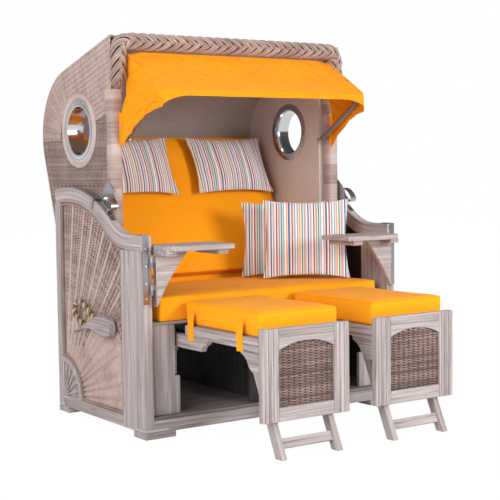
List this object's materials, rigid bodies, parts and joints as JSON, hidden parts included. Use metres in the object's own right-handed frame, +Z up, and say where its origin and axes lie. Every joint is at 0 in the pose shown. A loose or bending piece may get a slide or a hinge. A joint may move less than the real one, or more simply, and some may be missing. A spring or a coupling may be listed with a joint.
{
  "type": "hooded beach chair",
  "caption": "Two-seat beach chair with a reclining wicker hood and awning on a timber base, slide-out footrests with folding legs and swing-out side tables.",
  "frame": {"origin": "on the floor, under the middle of the box of the whole chair", "axes": "+Z up, the seated people look along -Y, +X to the right of someone facing the chair"},
  "size_m": [1.3686, 1.596, 1.6449],
  "materials": {
    "grey_wood": "weathered, open grain, matt",
    "wicker": "woven round strand, satin",
    "lining": "coarse woven cloth over padding",
    "orange_cloth": "dyed canvas, matt",
    "striped_cloth": "printed stripes, matt",
    "steel": "polished stainless",
    "bow_steel": "dark coated, satin",
    "rope": "twisted natural fibre"
  },
  "bodies": {
    "base": {"front_bottom_rail": "grey_wood", "rear_frame": "grey_wood", "rear_wicker": "wicker", "floor_board": "grey_wood", "centre_divider": "grey_wood", "seat_board": "grey_wood", "seat_cushion": "orange_cloth", "front_throw_pillow": "striped_cloth", "rear_throw_pillow": "striped_cloth", "left_side_frame": "grey_wood", "left_side_wicker": "wicker", "left_handle_board": "grey_wood", "left_rope_handle": "rope", "left_perforated_strip": "steel", "left_post_strap": "steel", "left_front_board": "grey_wood", "left_pivot_bolt": "steel", "right_side_frame": "grey_wood", "right_side_wicker": "wicker", "right_handle_board": "grey_wood", "right_rope_handle": "rope", "right_perforated_strip": "steel", "right_post_strap": "steel", "right_front_board": "grey_wood", "right_pivot_bolt": "steel"},
    "hood": {"hood_back_wicker": "wicker", "hood_lining": "lining", "braid": "wicker", "back_cushion": "orange_cloth", "left_hood_wall": "lining", "left_hood_wicker": "wicker", "left_porthole": "steel", "left_stile": "wicker", "left_guide_clip": "steel", "left_neck_pillow": "striped_cloth", "right_hood_wall": "lining", "right_hood_wicker": "wicker", "right_porthole": "steel", "right_stile": "wicker", "right_guide_clip": "steel", "right_neck_pillow": "striped_cloth"},
    "awning": {"awning_bow": "bow_steel", "awning_fabric": "orange_cloth"},
    "left_catch": {"left_catch_handle": "steel"},
    "left_footrest": {"left_footrest_frame": "grey_wood", "left_footrest_wicker": "wicker", "left_footrest_cushion": "orange_cloth"},
    "left_legs": {"left_footrest_legs": "grey_wood"},
    "left_table": {"left_hinge_leaf": "steel", "left_table_bracket": "grey_wood", "left_table_top": "grey_wood"},
    "right_catch": {"right_catch_handle": "steel"},
    "right_footrest": {"right_footrest_frame": "grey_wood", "right_footrest_wicker": "wicker", "right_footrest_cushion": "orange_cloth"},
    "right_legs": {"right_footrest_legs": "grey_wood"},
    "right_table": {"right_hinge_leaf": "steel", "right_table_bracket": "grey_wood", "right_table_top": "grey_wood"}
  },
  "joints": [
    {"name": "hood_recline", "type": "hinge", "parent": "base", "child": "hood", "pos_m": [0, 0.45732, 0.37], "axis": [-1, 0, 0], "range_deg": [0, 36]},
    {"name": "awning_fold", "type": "hinge", "parent": "hood", "child": "awning", "pos_m": [0, 0.15732, 1.2], "axis": [-1, 0, 0], "range_deg": [0, 50], "deforming": ["awning_fabric"]},
    {"name": "left_catch_lift", "type": "slide", "parent": "hood", "child": "left_catch", "axis": [0, -0.5299, 0.848], "range_m": [0, 0.012]},
    {"name": "left_footrest_slide", "type": "slide", "parent": "base", "child": "left_footrest", "axis": [0, 1, 0], "range_m": [0, 0.465], "deforming": ["left_footrest_cushion"]},
    {"name": "left_legs_fold", "type": "hinge", "parent": "left_footrest", "child": "left_legs", "pos_m": [-0.271, -0.58768, 0.415], "axis": [1, 0, 0], "range_deg": [0, 110]},
    {"name": "left_table_swing", "type": "hinge", "parent": "base", "child": "left_table", "pos_m": [-0.617, -0.21368, 0.65], "axis": [0, 0, -1], "range_deg": [0, 120]},
    {"name": "right_catch_lift", "type": "slide", "parent": "hood", "child": "right_catch", "axis": [0, -0.5299, 0.848], "range_m": [0, 0.012]},
    {"name": "right_footrest_slide", "type": "slide", "parent": "base", "child": "right_footrest", "axis": [0, 1, 0], "range_m": [0, 0.465], "deforming": ["right_footrest_cushion"]},
    {"name": "right_legs_fold", "type": "hinge", "parent": "right_footrest", "child": "right_legs", "pos_m": [0.271, -0.58768, 0.415], "axis": [1, 0, 0], "range_deg": [0, 110]},
    {"name": "right_table_swing", "type": "hinge", "parent": "base", "child": "right_table", "pos_m": [0.617, -0.21368, 0.65], "axis": [0, 0, 1], "range_deg": [0, 120]}
  ]
}
